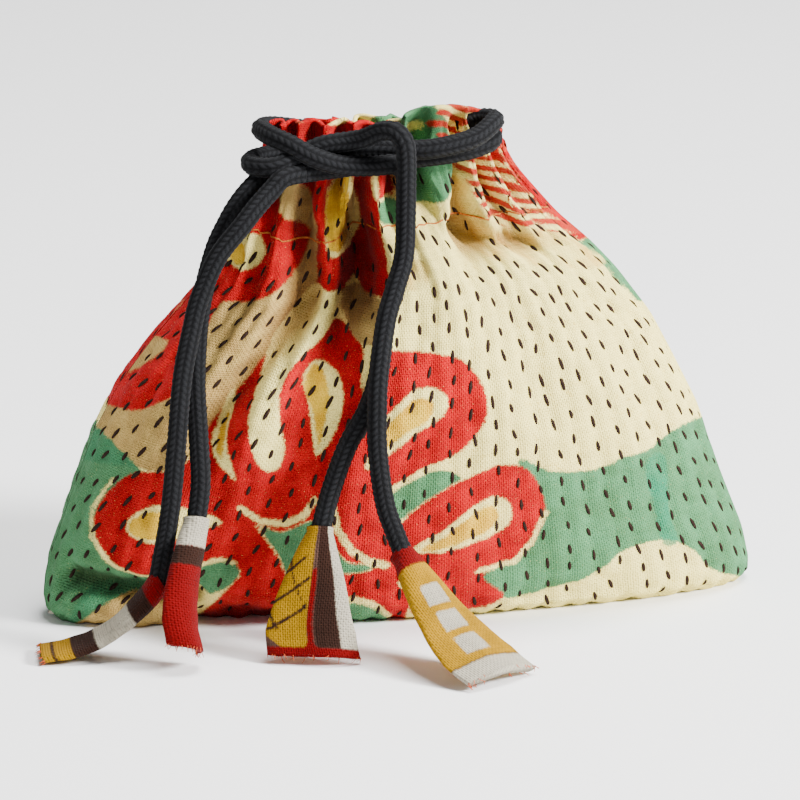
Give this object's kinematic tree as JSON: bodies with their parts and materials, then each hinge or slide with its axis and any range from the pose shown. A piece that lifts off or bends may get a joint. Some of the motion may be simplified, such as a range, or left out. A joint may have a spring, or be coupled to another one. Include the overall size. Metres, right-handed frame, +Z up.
{
  "type": "drawstring dice bag",
  "caption": "Stuffed kantha-cloth drawstring pouch with gathered neck and frill, two braided cords, four hanging ends and cloth tabs.",
  "frame": {"origin": "centre of the bag's flat base on the surface it stands on, the hanging cord ends left out", "axes": "+X along the bag's long side, +Y towards its back, +Z up"},
  "size_m": [0.1554, 0.1003, 0.1097],
  "materials": {
    "kantha_front": "printed running-stitched cotton, matt",
    "kantha_back": "printed running-stitched cotton, matt",
    "inner_cloth_front": "plain unbleached cotton, matt",
    "inner_cloth_back": "plain unbleached cotton, matt",
    "channel_front_cloth": "folded printed cotton hem",
    "channel_back_cloth": "folded printed cotton hem",
    "header_front_cloth": "gathered printed cotton edge",
    "header_back_cloth": "gathered printed cotton edge",
    "right_cord_braid": "braided cotton cord, matt charcoal",
    "left_cord_braid": "braided cotton cord, matt charcoal",
    "left_front_tail_braid": "braided cotton cord, matt charcoal",
    "left_rear_tail_braid": "braided cotton cord, matt charcoal",
    "centre_left_tail_braid": "braided cotton cord, matt charcoal",
    "centre_right_tail_braid": "braided cotton cord, matt charcoal",
    "left_front_tab_cloth": "folded printed cotton, matt",
    "left_rear_tab_cloth": "folded printed cotton, matt",
    "centre_left_tab_cloth": "folded printed cotton, matt",
    "centre_right_tab_cloth": "folded printed cotton, matt"
  },
  "bodies": {
    "bag": {"front_panel": "kantha_front", "back_panel": "kantha_back", "front_lining": "inner_cloth_front", "back_lining": "inner_cloth_back", "front_channel": "channel_front_cloth", "back_channel": "channel_back_cloth", "right_cord": "right_cord_braid", "left_cord": "left_cord_braid"},
    "front_frill": {"front_header": "header_front_cloth"},
    "back_frill": {"back_header": "header_back_cloth"},
    "left_tails": {"left_front_tail": "left_front_tail_braid", "left_rear_tail": "left_rear_tail_braid"},
    "centre_tails": {"centre_left_tail": "centre_left_tail_braid", "centre_right_tail": "centre_right_tail_braid"},
    "left_front_tab": {"left_front_tab": "left_front_tab_cloth"},
    "left_rear_tab": {"left_rear_tab": "left_rear_tab_cloth"},
    "centre_left_tab": {"centre_left_tab": "centre_left_tab_cloth"},
    "centre_right_tab": {"centre_right_tab": "centre_right_tab_cloth"}
  },
  "joints": [
    {"name": "front_frill_fold", "type": "hinge", "parent": "bag", "child": "front_frill", "pos_m": [-0.0045, -0.0081, 0.1048], "axis": [1, 0, 0], "range_deg": [0, 25]},
    {"name": "back_frill_fold", "type": "hinge", "parent": "bag", "child": "back_frill", "pos_m": [-0.0045, 0.0081, 0.1048], "axis": [-1, 0, 0], "range_deg": [0, 25]},
    {"name": "left_tails_lift", "type": "hinge", "parent": "bag", "child": "left_tails", "pos_m": [-0.028, -0.0145, 0.0924], "axis": [-1, 0, 0], "range_deg": [0, 60]},
    {"name": "centre_tails_lift", "type": "hinge", "parent": "bag", "child": "centre_tails", "pos_m": [-0.0036, -0.0232, 0.1004], "axis": [-1, 0, 0], "range_deg": [0, 60]},
    {"name": "left_front_tab_bend", "type": "hinge", "parent": "left_tails", "child": "left_front_tab", "pos_m": [-0.0579, -0.0324, 0.0153], "axis": [0.0929, 0.994, 0.0573], "range_deg": [0, 40]},
    {"name": "left_rear_tab_bend", "type": "hinge", "parent": "left_tails", "child": "left_rear_tab", "pos_m": [-0.0496, -0.0316, 0.0276], "axis": [-0.3057, -0.836, 0.4557], "range_deg": [0, 30]},
    {"name": "centre_left_tab_bend", "type": "hinge", "parent": "centre_tails", "child": "centre_left_tab", "pos_m": [-0.0243, -0.035, 0.0252], "axis": [-0.9563, 0.2921, 0.0119], "range_deg": [0, 40]},
    {"name": "centre_right_tab_bend", "type": "hinge", "parent": "centre_tails", "child": "centre_right_tab", "pos_m": [-0.0074, -0.04, 0.0201], "axis": [-0.8662, -0.4997, -0.0063], "range_deg": [0, 40]}
  ]
}
